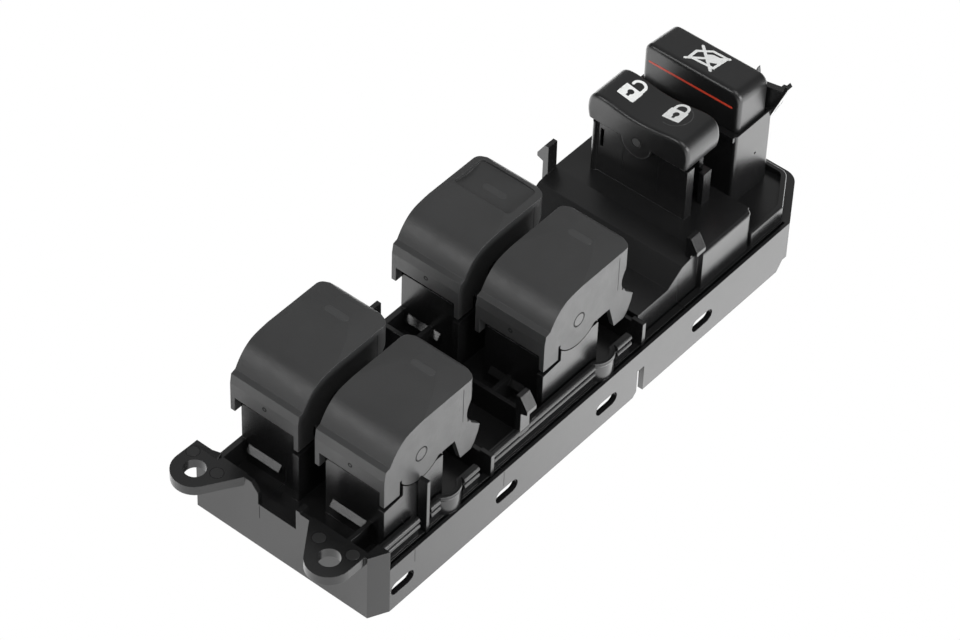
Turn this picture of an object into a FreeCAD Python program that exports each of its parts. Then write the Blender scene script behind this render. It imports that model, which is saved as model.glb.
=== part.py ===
import FreeCAD, Part
import math
import os

# Master power window switch for a driver's door: a black housing with two
# screw ears, four window rockers, a door lock rocker and a window lock button.
# Millimetres. +Z is up. +X is the side with the slotted skirt. +Y runs along
# the length, from the screw ears to the window lock button.
# Every piece is drawn at stations along Y counted from the ear end wall; the
# whole set is moved at the end so that the origin is under its middle.

V = FreeCAD.Vector

# Body
body_w = 66.0
body_len = 204.0
skirt_h = 17.2
left_ledge_z = 11.6
rim_z = 24.6
wall = 1.8
deck_top = 16.0
deck_t = 1.6
left_wall_x = 7.0 - body_w / 2
rail_x = body_w / 2 - 2.0
rail_t = 2.1
far_cut_x = 11.0
far_cut_y = 17.5
far_round = 6.0
near_cut_x = 3.0
near_cut_y = 5.9

# Screw ears
ear_hole_r = 3.3
ear_r = 7.0
ear_out = 6.4
ear_t = 3.3
ear_spacing = body_w - 16.8
ear_mid_x = -2.7

# Window rockers
cap_gap = 6.1
cap_w = (body_w - 10.3 - cap_gap) / 2
pair_mid_x = 0.2
cap_t = 1.6
row_pitch = body_len / 2 - 34.6
pivot_st = 24.0
pivot_z = 45.5
pin_r = 2.0
pin_fit = 0.06
disc_r = 9.6
crown = 1.1
back_bow = 2.4
side_fit = 0.35
stem_t = 3.6
tube_r = 0.1 * cap_w - 0.03
tube_bore_r = tube_r - 0.8
plunger_r = tube_bore_r - 0.15
plunger_tip_r = 21.2
saddle_off = cap_w / 2 - cap_t - side_fit - wall - tube_r - 0.5
saddle_half_w = plunger_r + 0.2
stem_half_w = saddle_off - plunger_r - 1.6
coil_r = plunger_r - 0.35
wire_r = 0.24

# Electrical floor under the deck
board_z = 7.4
board_t = 1.6
chamber_half_w = body_w / 2 - 7.6
board_half_w = chamber_half_w - 2.8
chamber_wall = 1.5
cover_t = 1.8
slide_fit = 0.15
gap = 0.3

# Lock switch and window lock button
lock_w = body_w - 29.0
lock_st = body_len - 51.6
lock_depth = 15.6
lock_top = 62.0
lock_mid_x = -0.6
lock_pivot_z = 52.4
button_w = body_w - 30.5
button_st = body_len - 24.8
button_depth = 14.2
button_top = 62.6
button_slope = 1.6
button_mid_x = -1.65
button_travel = 2.5
collar_top = 47.6
collar_wall = 0.9

# Platform under the lock switch
deck2_left = 7.6 - body_w / 2
deck2_right = body_w / 2 - 4.8
deck2_wide = body_w / 2 - 3.0
deck2_front = lock_st - 13.4
deck2_crease = lock_st - 5.4
deck2_back = lock_st + lock_depth + 3.0
deck2_z_front = 30.3
deck2_z_back = 31.5
step_front = deck2_front - 19.6
step_back = deck2_front - 5.8
step_z = 25.8
far_floor_z = 20.5
far_rim_z = 22.7
far_right = body_w / 2 - 2.6
far_back = body_len - 5.2

ear_reach = ear_out + ear_r
shift_y = -(body_len + ear_reach) / 2 + ear_reach
cap_x = (cap_w + cap_gap) / 2
caps_x = (pair_mid_x - cap_x, pair_mid_x + cap_x)
cover_z = 0.6
chamber_z = cover_z + cover_t
deck_z = deck_top - deck_t
board_top = board_z + board_t


def box(x0, x1, y0, y1, z0, z1):
    return Part.makeBox(x1 - x0, y1 - y0, z1 - z0, V(x0, y0, z0))


def rod(r, length, x, y, z, axis=V(0, 0, 1)):
    return Part.makeCylinder(r, length, V(x, y, z), axis)


def fuse(shapes):
    out = shapes[0].multiFuse(shapes[1:]) if len(shapes) > 1 else shapes[0]
    return out.removeSplitter()


def slab(wire, z0, z1):
    face = Part.Face(wire)
    face.translate(V(0, 0, z0))
    return face.extrude(V(0, 0, z1 - z0))


def poly(points):
    return Part.makePolygon([V(*p) for p in points] + [V(*points[0])])


def side_plate(points, x0, x1):
    """A plate whose outline is drawn in Y and Z, from x0 to x1."""
    face = Part.Face(poly([(x0, y, z) for y, z in points]))
    return face.extrude(V(x1 - x0, 0, 0))


def end_plate(points, y0, y1):
    """A plate whose outline is drawn in X and Z, from y0 to y1."""
    face = Part.Face(poly([(x, y0, z) for x, z in points]))
    return face.extrude(V(0, y1 - y0, 0))


def round_upright(shape, radius, test):
    """Rounds the upright edges whose middle passes the test."""
    edges = []
    for e in shape.Edges:
        a, b = e.Vertexes[0].Point, e.Vertexes[-1].Point
        if abs(a.x - b.x) < 1e-6 and abs(a.y - b.y) < 1e-6 and abs(a.z - b.z) > 0.5:
            if test((a + b) / 2):
                edges.append(e)
    return shape.makeFillet(radius, edges) if edges else shape


def rounded_wire(corners):
    """Closed outline in X and Y; each corner is given by x, y and its radius."""
    ends = []
    count = len(corners)
    for i, (x, y, r) in enumerate(corners):
        p = V(x, y, 0)
        if r < 0.05:
            ends.append((p, None, p))
            continue
        u = V(corners[i - 1][0] - x, corners[i - 1][1] - y, 0).normalize()
        w = V(corners[(i + 1) % count][0] - x, corners[(i + 1) % count][1] - y, 0).normalize()
        half = u.getAngle(w) / 2
        reach = r / math.tan(half)
        middle = p + (u + w).normalize() * (r / math.sin(half) - r)
        ends.append((p + u * reach, middle, p + w * reach))
    edges = []
    for i, (a, middle, b) in enumerate(ends):
        if middle is not None:
            edges.append(Part.Arc(a, middle, b).toShape())
        edges.append(Part.makeLine(b, ends[(i + 1) % count][0]))
    return Part.Wire(edges)


def body_outline(inset):
    """Plan of the body: two cut far corners and one small cut at the near right."""
    h = body_w / 2
    pts = [(-h, 0), (h - near_cut_x, 0), (h, near_cut_y)]
    pts += [(h, body_len - far_cut_y), (h - far_cut_x, body_len)]
    pts += [(-h + far_cut_x, body_len), (-h, body_len - far_cut_y)]
    wire = poly([(x, y, 0) for x, y in pts])
    if inset:
        wire = wire.makeOffset2D(-inset, 2)
    far = wire.BoundBox.YMax - 0.1
    r = max(far_round - inset, 0)
    return rounded_wire([(v.X, v.Y, r if v.Y > far else 0) for v in wire.OrderedVertexes])


def ear(mid_x, root_x0, root_x1):
    """Flat screw ear: a round eye drawn out to a straight root on the end wall."""
    z0 = rim_z - ear_t
    eye = rod(ear_r, ear_t, mid_x, -ear_out, z0)
    pts = []
    for root_x, side in ((root_x0, -1), (root_x1, 1)):
        dx, dy = root_x - mid_x, ear_out
        reach = math.hypot(dx, dy)
        turn = math.atan2(dy, dx) - side * math.acos(ear_r / reach)
        pts.append((mid_x + ear_r * math.cos(turn), -ear_out + ear_r * math.sin(turn), 0))
        pts.append((root_x, 0, 0))
    pts = [pts[0], pts[2], pts[3], (root_x1, wall, 0), (root_x0, wall, 0), pts[1]]
    web = slab(poly(pts), z0, rim_z)
    return eye.fuse(web)


def shell_body():
    """Skirt, cross deck, tray walls and the walls of the electrical chamber."""
    h = body_w / 2
    out = slab(body_outline(0), 0, skirt_h).cut(slab(body_outline(wall), 0, deck_z))
    tray = box(left_wall_x + wall, rail_x - rail_t, wall, body_len - 9, deck_top, skirt_h + 1)
    out = out.cut(tray.common(slab(body_outline(rail_t + 2.0), 0, 40)))
    out = out.cut(box(-h - 1, left_wall_x, 4.0, body_len + 1, left_ledge_z, skirt_h + 1))
    ledge = slab(body_outline(0.2), left_ledge_z - deck_t, left_ledge_z)
    out = out.fuse(ledge.common(box(-h, left_wall_x + wall, 0.4, body_len, 0, 30)))
    side = slab(body_outline(0), left_ledge_z - deck_t, rim_z)
    out = out.fuse(side.common(box(left_wall_x, left_wall_x + wall, 0, deck2_back, 0, 40)))
    channel = box(rail_x, rail_x + 0.9, near_cut_y + 1, body_len - far_cut_y - 1,
                  deck_z + 1.0, skirt_h + 1)
    out = out.cut(channel)
    chamber = slab(body_outline(h - chamber_half_w), chamber_z, deck_z + 0.3)
    chamber = chamber.cut(slab(body_outline(h - chamber_half_w + chamber_wall), 0, 30))
    return out.fuse(chamber)


def end_wall():
    """Ear end wall with its wide notch, corner pillar and one upright post."""
    h = body_w / 2
    t = 1.4
    pts = [(-h - 1.1, skirt_h - 1), (h - near_cut_x, skirt_h - 1), (h - near_cut_x, rim_z)]
    pts += [(4.1, rim_z), (4.1, 17.4), (-9.8, 17.4), (-9.8, rim_z - 3.0), (-12.4, rim_z)]
    pts += [(-h - 1.1, rim_z)]
    out = end_plate(pts, 0, t)
    out = out.fuse(box(-h - 1.1, left_wall_x + 0.5, 0, t, rim_z - 6.0, rim_z))
    ramp = side_plate([(0, rim_z - 3), (0, rim_z), (1.9, rim_z + 1.1), (1.9, rim_z - 3)],
                      -h - 1.1, left_wall_x + 1.0)
    corner = poly([(-h - 1.1, 0, 0), (left_wall_x + 1.0, 0, 0), (left_wall_x + 1.0, 1.9, 0)])
    out = out.fuse(ramp.common(slab(corner, 0, 40)))
    pillar = poly([(h - 4.4, 0, 0), (h - near_cut_x, 0, 0), (h, near_cut_y, 0),
                   (h - 4.4, near_cut_y, 0)])
    out = out.fuse(slab(pillar, skirt_h - 1, rim_z))
    out = out.fuse(box(4.1, 5.6, 0, 3.4, 17.4, rim_z + 0.6))
    return out


def rail(y0, y1):
    """One length of the side wall with its double bead."""
    x0 = rail_x - rail_t
    out = box(x0, x0 + 1.5, y0, y1, deck_top - 0.4, rim_z - 0.2)
    for x, z, r in ((rail_x - 1.05, rim_z - 1.2, 1.1), (rail_x - 0.9, rim_z - 3.5, 1.05)):
        out = out.fuse(rod(r, y1 - y0, x, y0, z, V(0, 1, 0)))
    return out


bend_r = 5.9
bend_st = 34.4
bend_reach = 5.1


def rail_bend(y):
    """The wall swings out in a half ring round a round boss hollow."""
    x = rail_x - bend_r + 1.3
    ring = rod(bend_r, rim_z - 0.2 - deck_top + 0.4, x, y, deck_top - 0.4)
    bead = Part.makeTorus(bend_r - 0.9, 1.05, V(x, y, rim_z - 1.2))
    ring = ring.fuse(bead).cut(rod(bend_r - 1.6, 12, x, y, deck_top - 1))
    return ring.common(box(rail_x - rail_t, rail_x + 4, y - 8, y + 8, 0, 40))


def side_rails():
    post_x = caps_x[1] + cap_w / 2 + 0.45
    low = deck_top - 0.4
    parts = [rail(near_cut_y - 0.5, bend_st - 13.8), rail(bend_st - 9.0, bend_st - bend_reach)]
    parts += [rail(bend_st + bend_reach, bend_st + 11.4)]
    parts += [rail(bend_st + 17.0, row_pitch + bend_st - bend_reach)]
    parts += [rail(row_pitch + bend_st + bend_reach, row_pitch + bend_st + 11.4)]
    parts += [rail_bend(bend_st), rail_bend(row_pitch + bend_st)]
    parts.append(box(post_x, rail_x + 0.6, 22.6, 23.8, low, 37.4))
    parts.append(box(rail_x - 3.6, rail_x + 0.6, 50.0, 51.4, low, rim_z + 0.8))
    parts.append(box(rail_x - 3.6, rail_x + 0.6, row_pitch + 50.0, row_pitch + 51.4,
                     low, rim_z + 1.2))
    return parts


def tray_ribs():
    """Cross ribs of the tray and the low step in front of each rocker tower."""
    x0, x1 = left_wall_x + 0.4, rail_x - 0.6
    low = deck_top - 0.4
    ribs = [box(x0, x1, 50.0, 51.4, low, rim_z)]
    ribs.append(box(x0, x1, row_pitch + 1.8, row_pitch + 3.2, low, rim_z))
    ribs.append(box(x0, x1, row_pitch + 50.0, row_pitch + 51.4, low, rim_z))
    ribs.append(box(rail_x - 10.2, rail_x - 8.8, wall - 0.4, 11.6, low, rim_z - 0.3))
    for x in (-14.6, 14.6):
        ribs.append(box(x - 0.7, x + 0.7, row_pitch + 2.6, row_pitch + 11.6, low, rim_z - 0.6))
    for mid in caps_x:
        for row in (0, row_pitch):
            step = [(9.4, 21.6), (11.0, 23.4), (11.6, 23.4), (11.6, 20.2), (9.8, 20.9)]
            ribs.append(side_plate([(y + row, z) for y, z in step], mid - 7.8, mid + 4.4))
    return ribs


def hook(base_x, side, y0, z0):
    """Snap finger that holds the switch in the door trim."""
    pts = [(-0.4, 0), (1.7, 0), (1.7, 9.2), (3.9, 10.0), (3.9, 11.4), (1.3, 15.6), (-0.2, 15.6)]
    return end_plate([(base_x + side * x, z0 + z) for x, z in pts], y0, y0 + 4.0)


leg_w = 6.4
leg_foot = 36.2
leg_play = 1.4
leg_drop = 2.0


def flush_plate(mid_x, row):
    """Side plate of a tower, level with the cheek, hollowed round the pivot disc."""
    y0, y1 = row + fascia_y + 0.1, row + pivot_st + 9.2
    x0, x1 = mid_x + cap_w / 2 - cap_t - side_fit - 0.2, mid_x + cap_w / 2
    low, mid = deck_top - 0.4, leg_foot - leg_drop
    front = row + fascia_y + leg_w + leg_play
    face = [(y0, low), (y0, mid), (front, mid + 0.7), (front, 41.5), (y1, 41.5), (y1, low)]
    plate = side_plate(face, x0, x1)
    disc = rod(disc_r + 0.35, 6, x0 - 1, row + pivot_st, pivot_z, V(1, 0, 0))
    plate = plate.cut(disc)
    return plate.cut(box(x0 - 1, x1 + 1, row + pivot_st + 5.2, y1 + 1, 39.1 - leg_play, 50))


def tower(mid_x, row):
    """Rocker tower: a square tube with two springy arms that carry the pivot pins."""
    half = cap_w / 2 - cap_t - side_fit
    y0, y1 = row + 11.0, row + 35.4
    top = 38.0
    out = box(mid_x - half, mid_x + half, y0, y1, deck_top - 0.4, top)
    arm_face = [(y0 + 7.2, top - 1), (row + 30.2, top - 1)]
    arm_face += [(row + 30.2, pivot_z), (row + 28.4, pivot_z + 4.6)]
    arm_face += [(row + 25.6, pivot_z + 6.2), (row + 22.4, pivot_z + 6.2)]
    arm_face += [(row + 19.6, pivot_z + 4.6), (y0 + 7.2, pivot_z)]
    out = out.fuse(side_plate(arm_face, mid_x - half, mid_x + half))
    inner = half - wall
    out = out.cut(box(mid_x - inner, mid_x + inner, y0 + wall, y1 - wall, deck_top, 80))
    slot = box(mid_x - half - 1, mid_x + half + 1, row + 16.5, row + 17.5, 23.2, top + 1)
    out = out.cut(slot).fuse(flush_plate(mid_x, row))
    for side in (-1, 1):
        x = mid_x + side * (half - 0.2)
        pin = rod(pin_r, 0.2 + side_fit + cap_t, x, row + pivot_st, pivot_z, V(side, 0, 0))
        out = out.fuse(pin)
    return out


def saddle(mid_x, row):
    """Curved seat on the deck that the spring plunger of a rocker runs on."""
    x0, x1 = mid_x + saddle_off - saddle_half_w, mid_x + saddle_off + saddle_half_w
    y = row + pivot_st
    block = box(x0, x1, y - 6.6, y + 6.6, deck_top - 0.4, 25.4)
    sweep = rod(plunger_tip_r + gap, x1 - x0 + 2, x0 - 1, y, pivot_z, V(1, 0, 0))
    return block.cut(sweep)


slider_len = 9.2
slider_half_w = stem_half_w + 1.9
slider_z = board_top + slide_fit
slider_h = 4.2
stem_end_z = slider_z + slider_h / 2 + 0.05
stem_end_r = 1.5


def guide_rails(mid_x, mid_y, along_y):
    """Two ribs under the deck that guide a contact slider."""
    reach = 11.0
    inner = slider_half_w + slide_fit
    ribs = []
    for side in (-1, 1):
        a, b = sorted((side * inner, side * (inner + 1.2)))
        if along_y:
            ribs.append(box(mid_x + a, mid_x + b, mid_y - reach, mid_y + reach,
                            board_top + 0.4, deck_z + 0.3))
        else:
            ribs.append(box(mid_x - reach, mid_x + reach, mid_y + a, mid_y + b,
                            board_top + 0.4, deck_z + 0.3))
    return ribs


screw_x = chamber_half_w - 5.4
screw_spots = [(side * screw_x, y) for y in (row_pitch - 11.4, row_pitch + 58.6)
               for side in (-1, 1)]
screw_spots += [(0, 14.0), (4.0 - screw_x, button_st + 4.8), (screw_x - 4.0, button_st + 4.8)]
boss_r = 2.9
screw_r = 1.3


def platform():
    """Raised step and sloping deck that carry the lock switch tower."""
    x0, x1 = deck2_left, deck2_right
    low = deck_top - 0.4
    face = [(step_front, low), (step_front, step_z), (step_back, step_z)]
    face += [(deck2_front - 0.5, deck2_z_front - 0.8), (deck2_front + 0.7, deck2_z_front)]
    face += [(deck2_crease, deck2_z_back)]
    face += [(deck2_back, deck2_z_back), (deck2_back, low)]
    wide = box(x0, deck2_wide, deck2_crease, deck2_back, low, deck2_z_back)
    wide = round_upright(wide, 2.4, lambda p: p.y > deck2_back - 0.1 and p.x > 0)
    top = [e for e in wide.Edges if e.BoundBox.ZMin > deck2_z_back - 0.01
           and (e.BoundBox.XMin > x1 - 1 or e.BoundBox.YMin > deck2_back - 0.01)]
    wide = wide.makeFillet(1.0, top)
    out = side_plate(face, x0, x1).fuse(wide)
    inner = [(step_front + wall, deck_top - 1), (step_front + wall, step_z - wall)]
    inner += [(step_back + 0.8, step_z - wall), (deck2_front + 0.8, deck2_z_front - wall)]
    inner += [(deck2_crease, deck2_z_back - wall), (deck2_back - wall, deck2_z_back - wall)]
    inner += [(deck2_back - wall, deck_top - 1)]
    return out, side_plate(inner, x0 + wall, x1 - wall - 0.6)


def far_block():
    """Shallow tray with a raised rim behind the platform."""
    h = body_w / 2
    rim_t = 1.7
    plan = slab(body_outline(h - far_right), deck_top - 0.4, far_rim_z)
    plan = plan.common(box(left_wall_x, h, deck2_back - 0.5, far_back, 0, 60))
    plan = round_upright(plan, 3.6, lambda p: p.y > far_back - 0.1)
    rim = [e for e in plan.Edges if e.BoundBox.ZMin > far_rim_z - 0.01
           and (e.BoundBox.YMin > deck2_back + 4 or e.BoundBox.XMin > deck2_right - 2)]
    plan = plan.makeFillet(0.7, rim)
    well = slab(body_outline(h - far_right + rim_t), far_floor_z, 60)
    well = well.common(box(left_wall_x + wall, h, deck2_back - 1, far_back - rim_t, 0, 61))
    well = round_upright(well, 2.4, lambda p: p.y > far_back - rim_t - 0.1)
    under = slab(body_outline(h - far_right + 3.6), deck_top - 1, far_floor_z - deck_t)
    under = under.common(box(left_wall_x + wall, h, deck2_back + 1, far_back - 3.6, 0, 60))
    return plan.cut(well), under


def lock_tower():
    """Tube under the lock rocker, its crown with two pivot pins and a lower rear post."""
    mid_y = lock_st + lock_depth / 2
    y0, y1 = lock_st + 1.5 + gap, lock_st + lock_depth - 1.5 - gap
    x0, x1 = lock_mid_x - lock_w / 2 + 1.4, lock_mid_x + lock_w / 2 - 0.8
    foot, top = 28.0, lock_pivot_z - 2.2
    out = box(x0, x1, y0, y1, foot, top)
    crown_top = lock_pivot_z + 4.4
    face = [(lock_mid_x - 9, top - 0.2), (lock_mid_x + 9, top - 0.2), (lock_mid_x + 6, crown_top)]
    face += [(lock_mid_x - 6, crown_top)]
    out = out.fuse(end_plate(face, y0, y1))
    out = out.cut(box(x0 + wall, x1 - wall, y0 + wall, y1 - wall, 20, 80))
    out = out.cut(box(lock_mid_x - 5.2, lock_mid_x + 5.2, y0 + wall, y1 - wall, top - 1, 80))
    out = out.cut(box(x1 - wall - 0.1, x1 + 1, y0 + 3.2, y1 - 3.6, deck2_z_back, top + 1))
    out = out.cut(box(x1 - 3.2, x1 + 1, y1 - 3.6, y1 + 1, 43.4, top + 1))
    out = out.cut(box(x0 + 3.0, x0 + 4.2, y0 - 1, y1 + 1, 41.5, 48.4))
    out = out.fuse(rod(1.2, top - foot, x0 + 1.2, y0 + 0.35, foot))
    for y, way in ((y0 + 0.4, -1), (y1 - 0.4, 1)):
        out = out.fuse(rod(1.6, 0.4 + gap + 1.4, lock_mid_x, y, lock_pivot_z, V(0, way, 0)))
    hole = box(lock_mid_x - 5.8, lock_mid_x + 5.8, mid_y - 3.2, mid_y + 3.2, 24, 40)
    return out, hole


def collar():
    """Upright guide tube of the window lock button with its catch bracket."""
    half = button_w / 2 + slide_fit + collar_wall
    y0 = button_st - slide_fit - 1.5
    y1 = button_st + button_depth + slide_fit + 1.5
    x0, x1 = button_mid_x - half, button_mid_x + half
    out = box(x0, x1, y0, y1, far_floor_z - 0.5, collar_top)
    out = round_upright(out, 1.0, lambda p: True)
    bore = box(x0 + collar_wall, x1 - collar_wall, y0 + 1.5, y1 - 1.5, far_floor_z + 1.5, 80)
    lip = box(x0 + 0.6, x1 - 0.6, y0 - 0.9, y0 + 0.5, collar_top - 1.8, collar_top)
    gusset = [(x1 - 4.4, 42.0), (x1 - 4.4, 55.0), (x1 + 3.4, 56.6), (x1 + 4.3, 59.4)]
    gusset += [(x1 + 5.2, 58.4), (x1 + 0.6, 46.6), (x1 - 0.6, 43.4)]
    catch = end_plate(gusset, y1 - 1.0, y1 + 1.2)
    brace = end_plate([(x1 - 0.2, 44.5), (x1 + 1.6, 49.0), (x1 + 3.0, 56.5), (x1 + 1.4, 56.2)],
                      y1 + 0.8, y1 + 2.4)
    spike = [(x1 - 6.9, collar_top - 6), (x1 - 6.9, collar_top + 10), (x1 - 6.2, collar_top + 13)]
    spike += [(x1 - 5.6, collar_top + 10), (x1 - 5.6, collar_top - 6)]
    catch = catch.fuse(brace).fuse(end_plate(spike, y1 - 1.0, y1 + 0.4))
    return out.fuse(lip), bore, catch


def housing():
    parts = [shell_body(), end_wall()]
    parts += side_rails() + tray_ribs()
    h = body_w / 2
    left_ear, right_ear = ear_mid_x - ear_spacing / 2, ear_mid_x + ear_spacing / 2
    ears = ((left_ear, -h - 1.1, left_ear + 12.3), (right_ear, right_ear - 13.0, h - 4.0))
    parts += [ear(mid, a, b) for mid, a, b in ears]
    for row in (0, row_pitch):
        for mid_x in caps_x:
            parts.append(tower(mid_x, row))
            parts.append(saddle(mid_x, row))
            parts += guide_rails(mid_x, row + pivot_st, True)
    mid_lock = lock_st + lock_depth / 2
    parts += guide_rails(lock_mid_x, mid_lock, False)
    deck2, deck2_hollow = platform()
    block, block_hollow = far_block()
    lock_tube, lock_hole = lock_tower()
    tube, bore, catch = collar()
    hollow_shell = deck2.fuse(block).cut(deck2_hollow).cut(block_hollow)
    parts += [hollow_shell, lock_tube, tube, catch]
    parts += [hook(rail_x - 1.9, 1, row_pitch - 4.0, rim_z - 2.4)]
    parts += [hook(left_wall_x + 1.9, -1, row_pitch - 4.0, rim_z - 4.7)]
    parts += [hook(deck2_right - 1.8, 1, lock_st - 9.0, deck2_z_front - 7.4)]
    parts += [hook(deck2_left, -1, lock_st - 9.0, deck2_z_front - 4.4)]
    bosses = [rod(boss_r, deck_z + 0.3 - chamber_z, x, y, chamber_z) for x, y in screw_spots]
    out = fuse(parts + bosses)

    cuts = []
    for mid in (left_ear, right_ear):
        cuts.append(rod(ear_hole_r, 20, mid, -ear_out, 10))
    for row in (0, row_pitch):
        for mid_x in caps_x:
            y = row + pivot_st
            a = stem_half_w + 0.7
            cuts.append(box(mid_x - a, mid_x + a, y - 5.8, y + 5.8, deck_z - 0.2, deck_top + 1))
    cuts.append(box(lock_mid_x - 5.8, lock_mid_x + 5.8, mid_lock - 3.2, mid_lock + 3.2,
                    deck_z - 0.2, deck_top + 0.2))
    stem_y = button_st + button_depth / 2
    cuts += [lock_hole, bore]
    cuts.append(box(button_mid_x - 4.4, button_mid_x + 4.4, stem_y - 3.4, stem_y + 3.4,
                    deck_z - 0.2, far_floor_z + 2))
    cuts.append(box(-18, 18, step_front + 4, step_front + 24, deck_z - 0.2, deck_top + 0.2))
    cuts += [rod(screw_r - 0.25, 9.0, x, y, chamber_z - 0.1) for x, y in screw_spots]
    cuts += skirt_slots()
    return out.cut(fuse_all(cuts))


def fuse_all(shapes):
    out = shapes[0]
    return out.multiFuse(shapes[1:])


slot_pitch = (body_len - 25.6) / 4
slot_len = 9.6
slot_h = 4.5
slot_z = 7.6


def skirt_slots():
    """Four long holes in each side of the skirt and the split in the seen side."""
    h = body_w / 2
    cuts = []
    r = slot_h / 2
    for k in range(4):
        y = 11.2 + k * slot_pitch
        half = slot_len / 2 - r
        for x in (h - 3, -h - 1):
            slot = box(x, x + 4, y - half, y + half, slot_z - r, slot_z + r)
            for end in (-half, half):
                slot = slot.fuse(rod(r, 4, x, y + end, slot_z, V(1, 0, 0)))
            cuts.append(slot)
    split_y = row_pitch + 47.2
    split = box(h - 3, h + 1, split_y, split_y + 3.0, -1, 9.9)
    cuts.append(split)
    lead = side_plate([(split_y - 1.6, -0.1), (split_y + 0.1, -0.1), (split_y + 0.1, 1.8)],
                      h - 3, h + 1)
    cuts.append(lead)
    toe = [(body_len - far_cut_y - 4.6, -0.1), (body_len - far_cut_y + 9, -0.1)]
    toe += [(body_len - far_cut_y + 9, 3.2), (body_len - far_cut_y - 2.0, 3.2)]
    cuts.append(side_plate(toe, h - 7, h + 1))
    return cuts


def cap_curve():
    """Points of the outer skin of a rocker seen from the side, fascia to finger lip."""
    return [(11.0, 50.3), (12.7, 53.0), (14.8, 55.3), (17.4, 57.0), (21.0, 57.9), (27.0, 58.5),
            (34.6, 59.0), (42.0, 59.3), (44.6, 59.2)]


def lip_curve():
    return [(44.6, 59.2), (47.0, 58.4), (47.9, 56.6), (46.8, 53.2), (44.2, 49.8), (43.0, 46.6),
            (43.3, 43.8), (44.6, 41.6)]


def inward(points, t):
    """Moves a row of points sideways by t, to the right of the way they run."""
    out = []
    for i, (y, z) in enumerate(points):
        y0, z0 = points[max(i - 1, 0)]
        y1, z1 = points[min(i + 1, len(points) - 1)]
        run = math.hypot(y1 - y0, z1 - z0)
        out.append((y + (z1 - z0) / run * t, z - (y1 - y0) / run * t))
    return out


def spline(points, x):
    curve = Part.BSplineCurve()
    curve.interpolate([V(x, y, z) for y, z in points])
    return curve.toShape()


def line(a, b, x):
    return Part.makeLine(V(x, a[0], a[1]), V(x, b[0], b[1]))


fascia_y = 8.8
fascia_z = 41.5


def cap_face(x, t, floor):
    """Side view face of a rocker, drawn in by t and closed along the level floor."""
    top = inward(cap_curve(), t)
    lip = inward(lip_curve(), t)
    lip = [p for p in lip if p[1] > floor + 0.2]
    joint = (top[-1][0], top[-1][1])
    lip[0] = joint
    crease = (9.3 + t, 49.7 - t * 0.3)
    foot = (fascia_y + t, floor)
    end = (lip[-1][0], floor)
    edges = [line(foot, (fascia_y + t, 46.4), x), line((fascia_y + t, 46.4), crease, x)]
    edges += [line(crease, top[0], x), spline(top, x), spline(lip, x)]
    edges += [line(lip[-1], end, x), line(end, foot, x)]
    return Part.Face(Part.Wire(edges))


leg_back = fascia_y + leg_w


def cheek_web(x0, x1):
    """Lower part of a cheek: front leg, round pivot disc and rear tail."""
    leg = [(fascia_y, leg_foot), (leg_back, leg_foot), (leg_back, 42.5), (fascia_y, 42.5)]
    tail = [(38.1, 42.5), (38.1, 39.0), (40.7, 30.3), (45.1, 30.3), (46.5, 31.9), (48.0, 35.0)]
    tail += [(48.7, 37.6), (45.0, 41.0), (44.4, 42.5)]
    bridge = [(30.0, 39.1), (38.4, 39.1), (38.4, 42.5), (30.0, 42.5)]
    parts = [side_plate(f, x0, x1) for f in (leg, tail, bridge)]
    disc = rod(disc_r, x1 - x0, x0, pivot_st, pivot_z, V(1, 0, 0))
    cut_z = pivot_z - 0.5
    disc = disc.common(box(x0, x1, 0, 60, 30, cut_z))
    return parts + [disc]


def back_arc(inset, corner):
    """Upright block with a bowed rear side and rounded corners, for the rear of a rocker."""
    outer = (cap_w * cap_w / 4 + back_bow * back_bow) / (2 * back_bow)
    arc = rod(outer - inset, 80, 0, lip_curve()[2][0] - outer, 0)
    half = cap_w / 2 - inset
    block = arc.common(box(-half, half, 0, 60, 0, 80))
    if corner > 0:
        block = round_upright(block, corner, lambda p: p.y > 30)
    return block


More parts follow.
